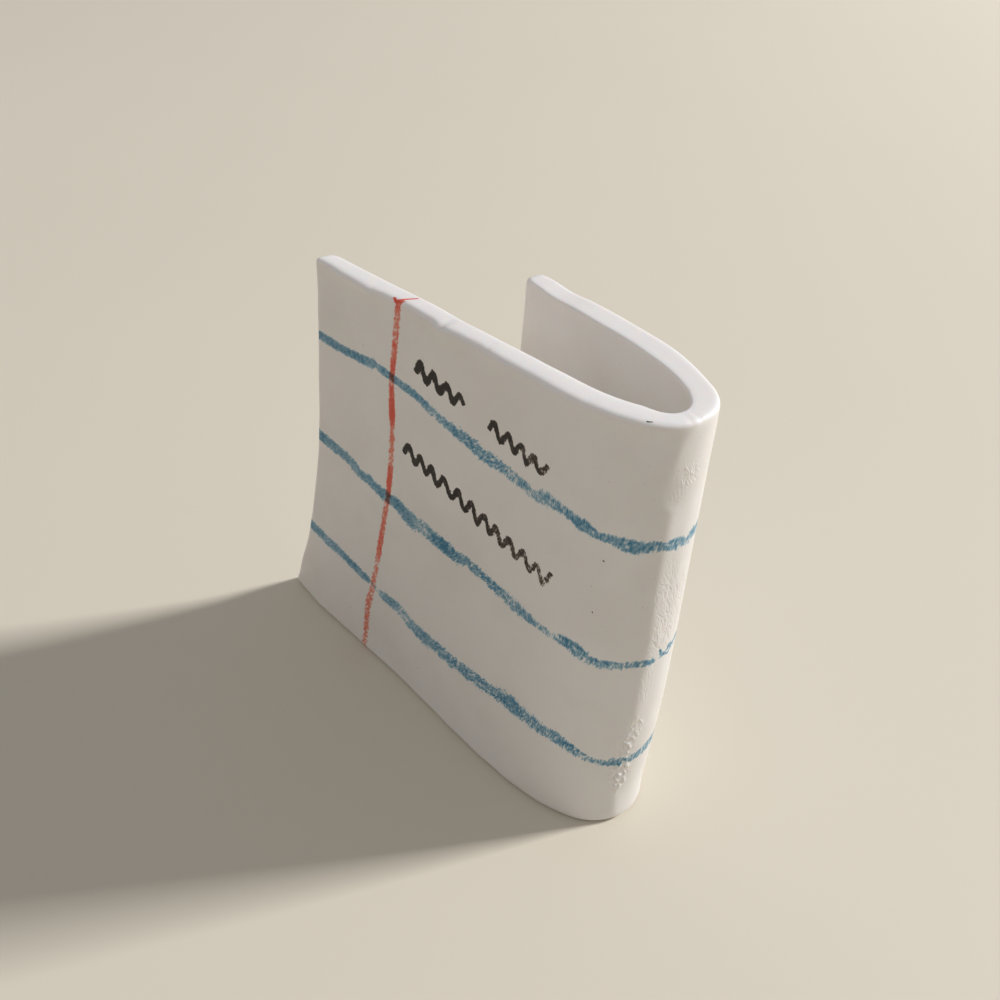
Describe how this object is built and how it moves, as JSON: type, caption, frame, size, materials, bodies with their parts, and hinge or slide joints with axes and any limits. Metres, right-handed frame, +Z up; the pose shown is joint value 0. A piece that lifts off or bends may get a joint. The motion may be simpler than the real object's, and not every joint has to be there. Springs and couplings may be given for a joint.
{
  "type": "folded paper note",
  "caption": "Thick little sheet bent into a standing fold: long front leaf with a foot that sweeps out, short back leaf, softly rounded edges.",
  "frame": {"origin": "centre of the bounding box, on the plane that the foot stands on", "axes": "+Z up along the sheet's height, +X along the leaves toward the fold, front (ruled) leaf's outer face toward -Y"},
  "size_m": [0.0388, 0.0126, 0.035],
  "materials": {
    "sheet": "white baked modelling clay, matte with a faint sheen, ruled by hand in blue and red with black pen strokes on the front leaf"
  },
  "bodies": {
    "root": {"note_sheet": "sheet"}
  },
  "joints": []
}
